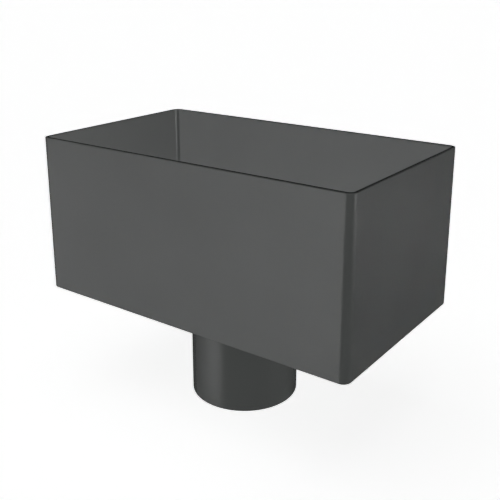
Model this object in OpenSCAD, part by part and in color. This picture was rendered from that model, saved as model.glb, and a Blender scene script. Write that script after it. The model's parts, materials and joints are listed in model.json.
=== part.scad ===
// Downpipe hopper head: an open box of bent and welded sheet on a round outlet spigot.
// Z is up, X runs along the wall behind the box, and the front faces -Y.
// The origin is the centre of the spigot's lower end. All lengths are in millimetres.

/* [Box] */
// Outside length of the box, along the wall behind it
box_length = 290; // [200:1:600]
// Outside depth of the box, from its front to its back
box_depth = 168; // [130:1:400]
// Outside height of the box, from its underside to its rim
box_height = 132; // [60:1:300]

/* [Sheet] */
// Thickness of the wall band
wall_t = 3; // [2:0.1:5]
// Thickness of the floor plate
floor_t = 3; // [2:0.1:5]
// Inside radius of the four upright bends
bend_r = 3.5; // [3.2:0.1:20]
// Rounding of the two edges along the rim
rim_edge_r = 0.7; // [0.2:0.1:0.9]
// Rounding of the ground seam along the lower edge
foot_edge_r = 0.9; // [0.2:0.1:1]
// Radius of the weld between the walls and the floor
floor_weld_r = 2; // [0.5:0.1:3]

/* [Outlet] */
// Outside diameter of the spigot
spigot_d = 90; // [60:0.5:110]
// Wall thickness of the spigot
spigot_t = 3; // [2:0.1:5]
// Length of the spigot below the box
spigot_length = 85; // [30:1:200]
// Rounding of the mouth where the floor runs into the spigot
mouth_r = 2.5; // [0.5:0.1:4]
// Radius of the weld round the spigot, under the floor
spigot_weld_r = 2; // [0.5:0.1:6]
// Rounding of the edges at the spigot's lower end
end_edge_r = 0.7; // [0.2:0.1:0.9]

/* [Hidden] */
$fn = 96;

coat_grey = "#55585a";

// Outside radius of the upright bends
corner_r = bend_r + wall_t;
// Distances from the middle of the box to the axes of the bends
bend_x = box_length / 2 - corner_r;
bend_y = box_depth / 2 - corner_r;
// The floor plate reaches halfway into the wall band's thickness
floor_r = bend_r + wall_t / 2;

spigot_r = spigot_d / 2;
bore_r = spigot_r - spigot_t;
floor_top = spigot_length + floor_t;

// How far cutters and fillets run past the faces that they meet
lap = 0.5;

// What lies between a square corner at the origin and a round of radius r inside it.
// It is taken off an outer corner to round it, or added to an inner one to fill it.
module spandrel(r) {
    difference() {
        translate([-lap, -lap])
            square(r + lap);
        translate([r, r])
            circle(r);
    }
}

// Section of the wall band, outward from a bend's axis along X and upward along Y
module wall_section() {
    difference() {
        union() {
            translate([bend_r, 0])
                square([wall_t, box_height]);
            translate([bend_r, floor_t])
                mirror([1, 0])
                    spandrel(floor_weld_r);
        }
        translate([bend_r, box_height])
            mirror([0, 1])
                spandrel(rim_edge_r);
        translate([corner_r, box_height])
            rotate(180)
                spandrel(rim_edge_r);
        translate([corner_r, 0])
            mirror([1, 0])
                spandrel(foot_edge_r);
    }
}

// One straight wall, facing +X, with the bend at its +Y end
module wall_and_bend(to_bend_axis, half_run) {
    translate([to_bend_axis, 0, 0]) {
        rotate([90, 0, 0])
            linear_extrude(2 * half_run, center = true)
                wall_section();
        translate([0, half_run, 0])
            rotate_extrude(angle = 90)
                wall_section();
    }
}

// The band of sheet that is bent round into the four walls
module wall_band() {
    for (half_turn = [0, 180]) {
        rotate(half_turn)
            wall_and_bend(bend_x, bend_y);
        rotate(half_turn + 90)
            wall_and_bend(bend_y, bend_x);
    }
}

// The flat plate that closes the band below
module floor_plate() {
    linear_extrude(floor_t) {
        square([2 * (bend_x + floor_r), 2 * bend_y], center = true);
        square([2 * bend_x, 2 * (bend_y + floor_r)], center = true);
        for (x = [-bend_x, bend_x], y = [-bend_y, bend_y])
            translate([x, y])
                circle(floor_r);
    }
}

// The spigot's outside, with its weld to the floor, as a solid of revolution
module spigot_outside() {
    rotate_extrude()
        difference() {
            union() {
                square([spigot_r, spigot_length + floor_t / 2]);
                translate([spigot_r, spigot_length])
                    mirror([0, 1])
                        spandrel(spigot_weld_r);
            }
            translate([spigot_r, 0])
                mirror([1, 0])
                    spandrel(end_edge_r);
        }
}

// The waterway through the floor and the spigot, with its rounded mouth and end
module waterway() {
    rotate_extrude() {
        translate([0, -lap])
            square([bore_r, floor_top + 2 * lap]);
        translate([bore_r, floor_top])
            mirror([0, 1])
                spandrel(mouth_r);
        translate([bore_r, 0])
            spandrel(end_edge_r);
    }
}

// The whole hopper head, welded into one piece
module hopper_head() {
    color(coat_grey)
        difference() {
            union() {
                translate([0, 0, spigot_length]) {
                    wall_band();
                    floor_plate();
                }
                spigot_outside();
            }
            waterway();
        }
}

hopper_head();
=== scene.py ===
"""Skin, welds, finish and studio for a downpipe hopper head.

The real one is a band of aluminium sheet bent round into four walls, with a floor plate and a round outlet
welded in below. It is ground flush outside and powder coated as one piece. Lengths in the classes are in
millimetres, and meshes are made in metres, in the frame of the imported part.
"""

import json
import logging
import math
from dataclasses import dataclass
from enum import Enum

import bpy
import numpy as np
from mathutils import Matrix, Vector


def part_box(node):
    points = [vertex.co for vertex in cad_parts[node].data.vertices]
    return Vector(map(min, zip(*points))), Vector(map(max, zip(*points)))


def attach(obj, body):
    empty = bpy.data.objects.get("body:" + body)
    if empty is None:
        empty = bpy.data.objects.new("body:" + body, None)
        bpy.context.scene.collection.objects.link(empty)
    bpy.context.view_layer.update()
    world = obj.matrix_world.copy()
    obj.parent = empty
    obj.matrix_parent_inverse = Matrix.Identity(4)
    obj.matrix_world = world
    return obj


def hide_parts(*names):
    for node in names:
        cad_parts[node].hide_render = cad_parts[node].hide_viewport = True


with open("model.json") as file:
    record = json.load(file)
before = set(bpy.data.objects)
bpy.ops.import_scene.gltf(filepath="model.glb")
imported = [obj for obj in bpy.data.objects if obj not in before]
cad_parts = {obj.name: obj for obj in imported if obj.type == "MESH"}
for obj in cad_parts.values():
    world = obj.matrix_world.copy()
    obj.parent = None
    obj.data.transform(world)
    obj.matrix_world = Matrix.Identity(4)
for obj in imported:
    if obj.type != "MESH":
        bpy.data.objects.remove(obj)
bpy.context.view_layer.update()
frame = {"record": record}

MM = 0.001
NODE = "hopper_head"
BODY = "root"
LOG = logging.getLogger(NODE)


def linear(srgb: str) -> tuple[float, float, float, float]:
    """Turn an sRGB hex colour into the linear colour that a shader takes.

    Args:
        srgb: The colour as #rrggbb.

    Returns:
        Red, green, blue and an alpha of 1, in linear light.
    """
    shares = [int(srgb[i : i + 2], 16) / 255 for i in (1, 3, 5)]
    light = [s / 12.92 if s <= 0.04045 else ((s + 0.055) / 1.055) ** 2.4 for s in shares]
    return (*light, 1.0)


def add_node(
    tree: bpy.types.NodeTree, kind: str, inputs: dict[str | int, object] | None = None, **settings: object
) -> bpy.types.Node:
    """Add a shader node with its settings, and fill or link its inputs.

    Args:
        tree: The node tree that takes the node.
        kind: Blender's name for the type of node.
        inputs: A value, or another node's output, for each input by name or number.
        **settings: Properties of the node itself.

    Returns:
        The new node.
    """
    node = tree.nodes.new(kind)
    for name, value in settings.items():
        setattr(node, name, value)
    for key, value in (inputs or {}).items():
        if isinstance(value, bpy.types.NodeSocket):
            tree.links.new(value, node.inputs[key])
        else:
            node.inputs[key].default_value = value
    return node


def new_tree(owner: bpy.types.Material | bpy.types.World) -> bpy.types.NodeTree:
    """Give a material or a world an empty node tree.

    Args:
        owner: The material or world.

    Returns:
        Its node tree, with no nodes.
    """
    owner.use_nodes = True
    owner.node_tree.nodes.clear()
    return owner.node_tree


def seen_directly(tree: bpy.types.NodeTree) -> bpy.types.NodeSocket:
    """Tell rays that look at a thing, straight or in a mirror or glass, from rays that gather its light.

    Args:
        tree: The node tree that asks.

    Returns:
        An output that is 1 for a ray that looks, and 0 for one that gathers light.
    """
    ray = add_node(tree, "ShaderNodeLightPath").outputs
    # A math node adds its two inputs.
    outside = add_node(tree, "ShaderNodeMath", {0: ray["Is Camera Ray"], 1: ray["Is Glossy Ray"]}).outputs[0]
    looks = add_node(tree, "ShaderNodeMath", {0: outside, 1: ray["Is Transmission Ray"]})
    return looks.outputs[0]


def new_object(name: str, mesh: bpy.types.Mesh, material: bpy.types.Material) -> bpy.types.Object:
    """Put a mesh into the scene as an object of one material.

    Args:
        name: The object's name.
        mesh: Its mesh, in metres.
        material: What covers it.

    Returns:
        The new object.
    """
    mesh.materials.append(material)
    thing = bpy.data.objects.new(name, mesh)
    bpy.context.scene.collection.objects.link(thing)
    return thing


def ring_faces(rows: int, columns: int) -> list[list[int]]:
    """List the four-sided faces of a grid of points that closes on itself both ways.

    Args:
        rows: Number of rings of points.
        columns: Number of points in each ring, anticlockwise from above.

    Returns:
        Four point numbers for each face, which faces outward where the next ring lies higher.
    """
    row, column = np.meshgrid(np.arange(rows), np.arange(columns), indexing="ij")
    next_row = (row + 1) % rows
    next_column = (column + 1) % columns
    corners = [(row, column), (row, next_column), (next_row, next_column), (next_row, column)]
    return np.stack([r * columns + c for r, c in corners], axis=-1).reshape(-1, 4).tolist()


def upright(flat: np.ndarray, height: np.ndarray | float) -> np.ndarray:
    """Lift plan points or directions into space.

    Args:
        flat: X and Y of each point.
        height: Z of each point, or of all of them.

    Returns:
        X, Y and Z of each point.
    """
    return np.column_stack([flat, np.broadcast_to(height, len(flat))])


@dataclass(frozen=True)
class PowderCoat:
    """Polyester powder, sprayed dry on aluminium sheet and baked to a satin anthracite film.

    The film hides the metal and gives the eye a soft sheen that is slightly uneven: the melt flows into a
    shallow orange peel, the tone drifts a little between spray passes, and a fine grain stays in the film.

    Attributes:
        name: Name of the material.
        tone_dark: Colour where the film is darkest.
        tone_light: Colour where it is lightest.
        pass_width: Width of a spray pass, over which the tone drifts.
        gloss_patch: Width of a patch that is a little more or less glossy.
        roughness_low: Roughness where the film is glossiest.
        roughness_high: Roughness where it is dullest.
        peel_wave: Width of a wave of the orange peel.
        peel_height: Height of such a wave.
        grain: Width of a grain.
        grain_height: Height of a grain.
        octaves: How many finer layers each pattern has.
        ior: Index of refraction of polyester.
        specular: Level of the sheen, where 0.5 leaves it to the index of refraction.
    """

    name: str = "satin_anthracite_powder_coat"
    tone_dark: str = "#4a4c4b"
    tone_light: str = "#505251"
    pass_width: float = 70.0
    gloss_patch: float = 25.0
    roughness_low: float = 0.235
    roughness_high: float = 0.265
    # The real peel is about 0.02 mm deep and the grain about 0.1 mm across. Both are drawn coarser, to show.
    peel_wave: float = 2.4
    peel_height: float = 0.075
    grain: float = 0.7
    grain_height: float = 0.02
    octaves: float = 2.0
    ior: float = 1.5
    specular: float = 0.5

    def material(self) -> bpy.types.Material:
        """Make the coat's material, with its patterns placed by the part's own coordinates.

        Returns:
            The material.
        """
        coat = bpy.data.materials.new(self.name)
        tree = new_tree(coat)
        place = add_node(tree, "ShaderNodeTexCoord").outputs["Object"]
        drift, patch, peel, grain = (
            add_node(
                tree,
                "ShaderNodeTexNoise",
                {"Vector": place, "Scale": 1 / (size * MM), "Detail": self.octaves},
            )
            for size in (self.pass_width, self.gloss_patch, self.peel_wave, self.grain)
        )
        # Inputs 6 and 7 of a mix node, and its output 2, are its colours.
        tone = add_node(
            tree,
            "ShaderNodeMix",
            {0: drift.outputs["Fac"], 6: linear(self.tone_dark), 7: linear(self.tone_light)},
            data_type="RGBA",
        )
        gloss = add_node(
            tree,
            "ShaderNodeMapRange",
            {"Value": patch.outputs["Fac"], "To Min": self.roughness_low, "To Max": self.roughness_high},
        )
        waves = add_node(
            tree, "ShaderNodeBump", {"Height": peel.outputs["Fac"], "Distance": self.peel_height * MM}
        )
        grit = add_node(
            tree,
            "ShaderNodeBump",
            {
                "Height": grain.outputs["Fac"],
                "Distance": self.grain_height * MM,
                "Normal": waves.outputs["Normal"],
            },
        )
        film = add_node(
            tree,
            "ShaderNodeBsdfPrincipled",
            {
                "Base Color": tone.outputs[2],
                "Roughness": gloss.outputs["Result"],
                "Normal": grit.outputs["Normal"],
                "IOR": self.ior,
                "Specular IOR Level": self.specular,
            },
        )
        add_node(tree, "ShaderNodeOutputMaterial", {"Surface": film.outputs["BSDF"]})
        return coat


@dataclass(frozen=True)
class FloorPaper:
    """Matt white studio paper, uncoated: it gives the eye plain white with a faint, soft shadow.

    Attributes:
        name: Name of the material.
        tone: Colour of the soft light that it throws back on the part.
        lift: Share of white that shows in any light.
        catch: Share of the light that shows on top of that, and is missing in the shadow.
    """

    name: str = "matt_white_paper"
    tone: str = "#c8c8c6"
    lift: float = 0.73
    catch: float = 1.0

    def material(self) -> bpy.types.Material:
        """Make the paper's material.

        Returns:
            The material.
        """
        paper = bpy.data.materials.new(self.name)
        tree = new_tree(paper)
        bounce = add_node(tree, "ShaderNodeBsdfDiffuse", {"Color": linear(self.tone)})
        shade = add_node(tree, "ShaderNodeBsdfDiffuse", {"Color": (self.catch,) * 3 + (1.0,)})
        glow = add_node(tree, "ShaderNodeEmission", {"Strength": self.lift})
        white = add_node(tree, "ShaderNodeAddShader", {0: shade.outputs[0], 1: glow.outputs[0]})
        look = add_node(
            tree, "ShaderNodeMixShader", {0: seen_directly(tree), 1: bounce.outputs[0], 2: white.outputs[0]}
        )
        add_node(tree, "ShaderNodeOutputMaterial", {"Surface": look.outputs[0]})
        return paper


@dataclass(frozen=True)
class BlackFelt:
    """Black wool felt of the studio's tent: its nap takes in nearly all light, and looks black in the sheen.

    Attributes:
        name: Name of the material.
        tone: Its colour.
    """

    name: str = "black_felt"
    tone: str = "#1c1c1c"

    def material(self) -> bpy.types.Material:
        """Make the felt's material.

        Returns:
            The material.
        """
        felt = bpy.data.materials.new(self.name)
        tree = new_tree(felt)
        nap = add_node(tree, "ShaderNodeBsdfDiffuse", {"Color": linear(self.tone)})
        add_node(tree, "ShaderNodeOutputMaterial", {"Surface": nap.outputs[0]})
        return felt


class Carrier(Enum):
    """What a corner of the skin's section is swept round."""

    BENDS = "the four upright bends of the wall band"
    OUTLET = "the axis of the outlet"


@dataclass(frozen=True)
class Corner:
    """A rounded corner of the skin's section, and the straight run that follows it.

    Attributes:
        carrier: What the corner is swept round.
        reach: Distance from the carrier to the centre of the rounding.
        height: Height of that centre.
        radius: Radius of the rounding.
        start_deg: Where the surface faces as the corner starts: 0 is outward, 90 is up.
        end_deg: Where it faces as the corner ends.
        run_rows: Rows of faces in the straight run to the next corner.
        hollow: Whether metal fills the corner, as weld does, and isn't rounded off it.
    """

    carrier: Carrier
    reach: float
    height: float
    radius: float
    start_deg: float
    end_deg: float
    run_rows: int
    hollow: bool = False


@dataclass
class WallPlan:
    """The wall band seen from above: points round its four sides and bends, anticlockwise.

    Attributes:
        half_x: Half the distance between the bends' axes along X.
        half_y: Half the distance between them along Y.
        bend_radius: Outside radius of the bends.
        fan_deg: Angle at the middle of the box between two points on a side.
        bend_steps: Faces round each bend.
    """

    half_x: float
    half_y: float
    bend_radius: float
    fan_deg: float = 2.5
    bend_steps: int = 12

    def __post_init__(self) -> None:
        """Work out the points' axes, the way each faces, and its direction from the outlet's axis."""
        sides = [self.side(turn) for turn in range(4)]
        self.axes = np.concatenate([axes for axes, _ in sides])
        self.facing = np.concatenate([facing for _, facing in sides])
        outside = self.axes + self.bend_radius * self.facing
        self.from_outlet = outside / np.linalg.norm(outside, axis=1, keepdims=True)

    def side(self, turn: int) -> tuple[np.ndarray, np.ndarray]:
        """Lay out one side and the bend at its end.

        Args:
            turn: Quarter turns from the side that faces +X.

        Returns:
            The points on the line of the bends' axes, and the way that the wall faces at each.
        """
        away, along = (self.half_x, self.half_y) if turn % 2 == 0 else (self.half_y, self.half_x)
        fan = math.atan2(along, away)
        steps = round(2 * math.degrees(fan) / self.fan_deg)
        run = away * np.tan(np.linspace(-fan, fan, steps + 1)[1:-1])
        arc = np.linspace(0, math.pi / 2, self.bend_steps + 1)
        axes = np.array([(away, v) for v in run] + [(away, along)] * len(arc))
        facing = np.array([(1.0, 0.0)] * len(run) + [(math.cos(a), math.sin(a)) for a in arc])
        angle = turn * math.pi / 2
        cos, sin = math.cos(angle), math.sin(angle)
        to_side = np.array([[cos, sin], [-sin, cos]])
        return axes @ to_side, facing @ to_side


@dataclass
class WeldBead:
    """Weld metal laid in an inside corner, in overlapping ripples, and coated over with the sheet.

    Attributes:
        name: Name of the piece.
        line: Points of the closed line along the corner, in plan.
        facing: The way from that line along the flat leg, at each point.
        height: Height of the corner.
        rise: 1 for a bead that climbs from the corner, -1 for one that hangs from it.
        leg: Length of each leg of the bead.
        ripple: Distance from one ripple to the next.
        ripple_height: How far a ripple stands out.
        points_per_ripple: Points along the line in each ripple.
        section_steps: Faces across the bead.
        crown: Fullness of the section, between 1 for a flat bevel and 2 for a quarter round.
        lag: How far a ripple's middle lags behind its ends, in ripples.
        root: How deep the bead is rooted in the corner, in legs.
    """

    name: str
    line: np.ndarray
    facing: np.ndarray
    height: float
    rise: int
    leg: float = 2.6
    ripple: float = 3.0
    ripple_height: float = 0.4
    points_per_ripple: int = 6
    section_steps: int = 6
    crown: float = 1.3
    lag: float = 0.35
    root: float = 0.3

    def path(self) -> tuple[np.ndarray, np.ndarray, np.ndarray]:
        """Set points along the line, a whole number of ripples in all.

        Returns:
            The points, the way along the flat leg at each, and its distance along the line in ripples.
        """
        closed = np.vstack([self.line, self.line[:1]])
        facing = np.vstack([self.facing, self.facing[:1]])
        travelled = np.concatenate([[0.0], np.cumsum(np.linalg.norm(np.diff(closed, axis=0), axis=1))])
        ripples = round(travelled[-1] / self.ripple)
        count = ripples * self.points_per_ripple
        stops = np.linspace(0, travelled[-1], count, endpoint=False)
        points = np.column_stack([np.interp(stops, travelled, closed[:, k]) for k in (0, 1)])
        ways = np.column_stack([np.interp(stops, travelled, facing[:, k]) for k in (0, 1)])
        ways /= np.linalg.norm(ways, axis=1, keepdims=True)
        return points, ways, np.arange(count) / self.points_per_ripple

    def mesh(self) -> bpy.types.Mesh:
        """Sweep the bead's section along the corner.

        Returns:
            A closed mesh, in metres.
        """
        points, ways, ripples = self.path()
        depth = self.root * self.leg
        rings = [upright(points - depth * ways, self.height - self.rise * depth)]
        for share in np.linspace(0, 1, self.section_steps + 1):
            angle = share * math.pi / 2
            cos, sin = math.cos(angle), math.sin(angle)
            swell = (abs(cos) ** self.crown + abs(sin) ** self.crown) ** (-1 / self.crown)
            wave = np.abs(np.sin(math.pi * (ripples + self.lag * (2 * share - 1) ** 2)))
            # The ripples stand out and sink in by halves, and fade out at the bead's edges.
            radius = self.leg * swell + self.ripple_height * (wave - 0.5) * math.sin(2 * angle)
            flat = points + (radius * cos)[:, None] * ways
            rings.append(upright(flat, self.height + self.rise * radius * sin))
        if self.rise < 0:
            rings.reverse()
        mesh = bpy.data.meshes.new(self.name)
        faces = ring_faces(len(rings), len(points))
        mesh.from_pydata((np.concatenate(rings) * MM).tolist(), [], faces)
        mesh.shade_smooth()
        return mesh


@dataclass
class HopperHead:
    """The box and its outlet: one coated skin over bent sheet, and the welds that hold it together.

    Attributes:
        length: Outside length of the box, along X.
        depth: Outside depth of the box, along Y.
        height: Height of the whole part.
        spigot_radius: Outside radius of the spigot.
        bore_radius: Inside radius of the spigot.
        sheet: Thickness of the walls and the floor.
        bend_inside: Inside radius of the upright bends.
        rim_round: Rounding of the rim's edges.
        foot_round: Rounding of the box's lower edge.
        floor_weld: Radius of the fillet along the floor's edge, inside.
        spigot_length: Length of the spigot below the box.
        spigot_weld: Radius of the fillet round the spigot, underneath.
        mouth_round: Rounding of the outlet's mouth.
        end_round: Rounding of the edges at the spigot's end.
        corner_rows: Rows of faces round each corner of the section.
    """

    length: float
    depth: float
    height: float
    spigot_radius: float
    bore_radius: float
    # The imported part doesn't state the sizes below, so they are written here as in its source.
    sheet: float = 3.0
    bend_inside: float = 3.5
    rim_round: float = 0.7
    foot_round: float = 0.9
    floor_weld: float = 2.0
    spigot_length: float = 85.0
    spigot_weld: float = 2.0
    mouth_round: float = 2.5
    end_round: float = 0.7
    corner_rows: int = 6

    @classmethod
    def from_frame(cls) -> "HopperHead":
        """Take the overall size and the outlet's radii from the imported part.

        Returns:
            The hopper head at the part's size.
        """
        low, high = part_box(NODE)
        length, depth, height = (high - low) / MM
        radii = {mount["name"]: mount["dims"].get("r_mm") for mount in frame["record"]["mounts"]}
        return cls(length, depth, height, radii["outlet_spigot"], radii["outlet_bore"])

    def __post_init__(self) -> None:
        """Lay out the wall band in plan, and the levels of the floor."""
        self.bend_outside = self.bend_inside + self.sheet
        self.plan = WallPlan(
            self.length / 2 - self.bend_outside, self.depth / 2 - self.bend_outside, self.bend_outside
        )
        self.underside = self.spigot_length
        self.floor_top = self.spigot_length + self.sheet

    def section(self) -> list[Corner]:
        """List the corners of the skin's section, from the spigot's end up the outside and down the inside.

        Returns:
            The corners, in order round the section.
        """
        outlet, bends = Carrier.OUTLET, Carrier.BENDS
        spigot, bore, end = self.spigot_radius, self.bore_radius, self.end_round
        weld, seam, rim, foot = self.spigot_weld, self.floor_weld, self.rim_round, self.foot_round
        inside, outside, mouth = self.bend_inside, self.bend_outside, self.mouth_round
        top = self.height - rim
        return [
            Corner(outlet, spigot - end, end, end, -90, 0, run_rows=10),
            Corner(outlet, spigot + weld, self.underside - weld, weld, 0, -90, run_rows=5, hollow=True),
            Corner(bends, outside - foot, self.underside + foot, foot, -90, 0, run_rows=16),
            Corner(bends, outside - rim, top, rim, 0, 90, run_rows=2),
            Corner(bends, inside + rim, top, rim, 90, 180, run_rows=16),
            Corner(bends, inside - seam, self.floor_top + seam, seam, 180, 90, run_rows=5, hollow=True),
            Corner(outlet, bore + mouth, self.floor_top - mouth, mouth, 90, 180, run_rows=10),
            Corner(outlet, bore + end, end, end, 180, 270, run_rows=2),
        ]

    def corner_rings(self, corner: Corner) -> list[tuple[np.ndarray, np.ndarray]]:
        """Sweep a corner of the section round its carrier.

        Args:
            corner: The corner.

        Returns:
            The points, and the way that the surface faces at each, for each ring of the corner.
        """
        rings = []
        for angle in np.radians(np.linspace(corner.start_deg, corner.end_deg, self.corner_rows + 1)):
            out, up = math.cos(angle), math.sin(angle)
            radius = -corner.radius if corner.hollow else corner.radius
            reach = corner.reach + radius * out
            if corner.carrier is Carrier.BENDS:
                flat, away = self.plan.axes + reach * self.plan.facing, self.plan.facing
            else:
                flat, away = reach * self.plan.from_outlet, self.plan.from_outlet
            rings.append((upright(flat, corner.height + radius * up), upright(out * away, up)))
        return rings

    def skin_mesh(self) -> bpy.types.Mesh:
        """Join the corners by straight runs into one closed skin.

        Returns:
            The skin, in metres, with the exact facing of its surface at each point.
        """
        section = self.section()
        corners = [self.corner_rings(corner) for corner in section]
        rings = []
        for k, corner in enumerate(section):
            rings += corners[k]
            start, facing = corners[k][-1]
            end, _ = corners[(k + 1) % len(section)][0]
            for share in np.arange(1, corner.run_rows) / corner.run_rows:
                rings.append((start + share * (end - start), facing))
        points = np.concatenate([ring for ring, _ in rings])
        mesh = bpy.data.meshes.new(NODE)
        mesh.from_pydata((points * MM).tolist(), [], ring_faces(len(rings), len(self.plan.axes)))
        mesh.shade_smooth()
        mesh.normals_split_custom_set_from_vertices(np.concatenate([facing for _, facing in rings]).tolist())
        return mesh

    def welds(self) -> list[WeldBead]:
        """Lay the beads along the floor's edge, inside, and round the spigot, underneath.

        Returns:
            The two beads.
        """
        plan = self.plan
        along_walls = plan.axes + self.bend_inside * plan.facing
        round_spigot = self.spigot_radius * plan.from_outlet
        return [
            WeldBead("floor_weld", along_walls, -plan.facing, self.floor_top, rise=1),
            WeldBead("spigot_weld", round_spigot, plan.from_outlet, self.underside, rise=-1),
        ]

    def build(self, coat: bpy.types.Material) -> list[bpy.types.Object]:
        """Make the skin and the welds.

        Args:
            coat: The finish of all of them.

        Returns:
            The skin, then the welds.
        """
        skin = new_object("hopper_head_skin", self.skin_mesh(), coat)
        return [skin] + [new_object(weld.name, weld.mesh(), coat) for weld in self.welds()]

    def dress(self, pieces: list[bpy.types.Object]) -> None:
        """Seat the pieces on the part's body, in the part's finish, with the skin in place of the solid.

        Args:
            pieces: The skin, then the welds.
        """
        for piece in pieces:
            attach(piece, BODY)
        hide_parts(NODE)


class Gives(Enum):
    """What a lamp adds to the part."""

    TONE = "light on the coat's own colour, and none in its sheen"
    SHEEN = "a glow in the coat's sheen, and none on its colour"


@dataclass(frozen=True)
class SoftLight:
    """An even, round source far from the part, so that a wall's brightness follows the way that it faces.

    Attributes:
        name: Name of the lamp.
        azimuth: Where it stands, in degrees from the front towards +X.
        elevation: How high it stands, in degrees; below 0 it acts for light that the pale floor throws up.
        spread: How wide it looks from the part, in degrees.
        strength: Light on a surface that faces it, in watts per square metre.
        gives: What it adds to the part.
        casts: Whether it throws shadows.
    """

    name: str
    azimuth: float
    elevation: float
    spread: float
    strength: float
    gives: Gives = Gives.TONE
    casts: bool = False

    def place(self) -> None:
        """Put the lamp into the scene, aimed at the part."""
        lamp = bpy.data.lights.new(self.name, "SUN")
        lamp.energy = self.strength
        lamp.use_shadow = self.casts
        # Sampled by itself, so that the felt tent doesn't stand in its way.
        lamp.cycles.use_multiple_importance_sampling = False
        lamp.angle = math.radians(self.spread)
        stand = bpy.data.objects.new(self.name, lamp)
        stand.visible_diffuse = self.gives is Gives.TONE
        stand.visible_glossy = self.gives is Gives.SHEEN
        stand.rotation_euler = (math.radians(90 - self.elevation), 0, math.radians(self.azimuth))
        bpy.context.scene.collection.objects.link(stand)


@dataclass(frozen=True)
class DarkTent:
    """Black felt round the part, over it and under it, which darkens its sheen and shows nowhere else.

    Attributes:
        half: Half the side of the tent.
        top: Height of its roof.
        lift: Height of its mat over the floor.
    """

    half: float = 2500.0
    top: float = 1000.0
    lift: float = 0.3

    def mesh(self) -> bpy.types.Mesh:
        """Make the tent as a closed box.

        Returns:
            The tent, in metres.
        """
        sides = (-self.half * MM, self.half * MM)
        corners = [(x, y, z * MM) for z in (self.lift, self.top) for y in sides for x in sides]
        # The mat, the roof and the four sides, by the numbers of their corners.
        faces = [(0, 1, 3, 2), (4, 6, 7, 5), (0, 4, 5, 1), (1, 5, 7, 3), (3, 7, 6, 2), (2, 6, 4, 0)]
        mesh = bpy.data.meshes.new("dark_tent")
        mesh.from_pydata(corners, [], faces)
        return mesh

    def place(self) -> None:
        """Set the tent up where only the part's sheen can see it."""
        tent = new_object("dark_tent", self.mesh(), BlackFelt().material())
        tent.visible_camera = False
        tent.visible_diffuse = False
        tent.visible_transmission = False
        tent.visible_shadow = False


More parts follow.
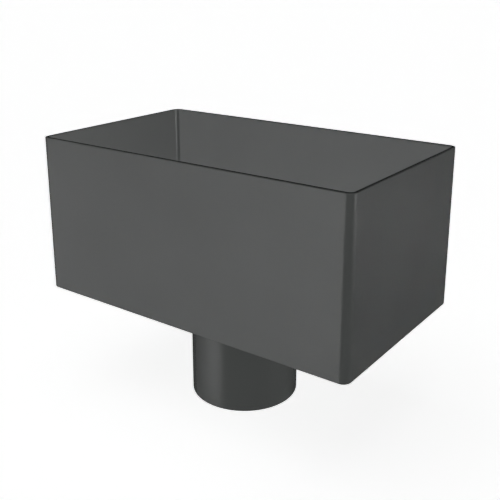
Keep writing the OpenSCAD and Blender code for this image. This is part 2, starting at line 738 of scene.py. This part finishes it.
@dataclass
class Studio:
    """A pale paper floor, even light from all round and overhead, and low glows for the sheen.

    Attributes:
        floor_half: Half the side of the paper.
        ring_count: Number of lamps in the ring that lights all walls alike.
        surround: Colour of the surround beyond the paper.
    """

    floor_half: float = 15000.0
    ring_count: int = 6
    surround: str = "#ffffff"

    def floor(self) -> None:
        """Lay the paper under the part."""
        half = self.floor_half * MM
        corners = [(-half, -half, 0), (half, -half, 0), (half, half, 0), (-half, half, 0)]
        mesh = bpy.data.meshes.new("floor")
        mesh.from_pydata(corners, [], [(0, 1, 2, 3)])
        new_object("floor", mesh, FloorPaper().material())

    def lamps(self) -> list[SoftLight]:
        """List the lamps that light the coat's own colour.

        Returns:
            The ring round the part, the one that casts the shadow, and the one that lights the rim.
        """
        step = 360 / self.ring_count
        ring = [
            SoftLight(f"ring_light_{k}", azimuth=(k + 0.5) * step, elevation=-10, spread=60, strength=0.97)
            for k in range(self.ring_count)
        ]
        return ring + [
            SoftLight("roof_light", azimuth=-36, elevation=75, spread=60, strength=0.36, casts=True),
            SoftLight("zenith_light", azimuth=0, elevation=90, spread=60, strength=0.22),
        ]

    def glows(self) -> list[SoftLight]:
        """List the lamps that show in the sheen.

        Returns:
            Three for the front wall and the spigot, then four for the bends and the right wall.
        """
        sheen = Gives.SHEEN
        return [
            SoftLight("left_glow", azimuth=-75, elevation=-25, spread=24, strength=0.05, gives=sheen),
            SoftLight("front_left_glow", azimuth=-38, elevation=-10, spread=50, strength=0.5, gives=sheen),
            SoftLight("front_glow", azimuth=-22, elevation=-18, spread=30, strength=0.107, gives=sheen),
            SoftLight("right_glow", azimuth=100, elevation=-6, spread=12, strength=0.61, gives=sheen),
            SoftLight("right_back_glow", azimuth=125, elevation=-12, spread=20, strength=0.127, gives=sheen),
            SoftLight("back_right_glow", azimuth=150, elevation=-10, spread=24, strength=0.031, gives=sheen),
            SoftLight("low_back_glow", azimuth=152, elevation=-26, spread=24, strength=0.015, gives=sheen),
        ]

    def sky(self) -> None:
        """Surround the scene with white that shows, and that gives the part no light."""
        world = bpy.data.worlds.new("studio_surround")
        tree = new_tree(world)
        white = add_node(
            tree, "ShaderNodeBackground", {"Color": linear(self.surround), "Strength": seen_directly(tree)}
        )
        add_node(tree, "ShaderNodeOutputWorld", {"Surface": white.outputs[0]})
        bpy.context.scene.world = world

    def build(self) -> None:
        """Set up the floor, the tent, the lamps and the surround."""
        self.floor()
        DarkTent().place()
        for light in self.lamps() + self.glows():
            light.place()
        self.sky()
        bpy.context.scene.view_settings.view_transform = "Standard"


@dataclass(frozen=True)
class ViewCamera:
    """The photograph's viewpoint: from the front right, looking down into the box.

    Attributes:
        position: Where the lens stands.
        heading_deg: The way it looks in plan, from +Y towards +X.
        dip_deg: How far it looks down.
        lens: Focal length.
        sensor: Width of the picture behind the lens.
        shift_y: Upward shift of the picture, in picture widths: it straightens the uprights a little.
        near: Nearest distance that shows.
        far: Farthest distance that shows.
    """

    position: tuple[float, float, float] = (360.3, -488.2, 348.6)
    heading_deg: float = -36.0
    dip_deg: float = 15.85
    lens: float = 55.7
    sensor: float = 36.0
    shift_y: float = -0.12
    near: float = 10.0
    far: float = 100000.0

    def place(self) -> None:
        """Put the camera into the scene and make it the one that renders."""
        optics = bpy.data.cameras.new("photo_view")
        optics.lens = self.lens
        optics.sensor_width = self.sensor
        optics.shift_y = self.shift_y
        optics.clip_start = self.near * MM
        optics.clip_end = self.far * MM
        camera = bpy.data.objects.new("photo_view", optics)
        camera.location = [MM * c for c in self.position]
        camera.rotation_euler = (math.radians(90 - self.dip_deg), 0, math.radians(-self.heading_deg))
        bpy.context.scene.collection.objects.link(camera)
        bpy.context.scene.camera = camera


def main() -> None:
    """Build and dress the part, then set the studio and the camera round it."""
    ViewCamera().place()
    head = HopperHead.from_frame()
    pieces = head.build(PowderCoat().material())
    head.dress(pieces)
    for piece in pieces:
        LOG.info("%s: %d faces", piece.name, len(piece.data.polygons))
    Studio().build()


if __name__ == "__main__":
    logging.basicConfig(level=logging.INFO, format="%(name)s: %(message)s")
    main()
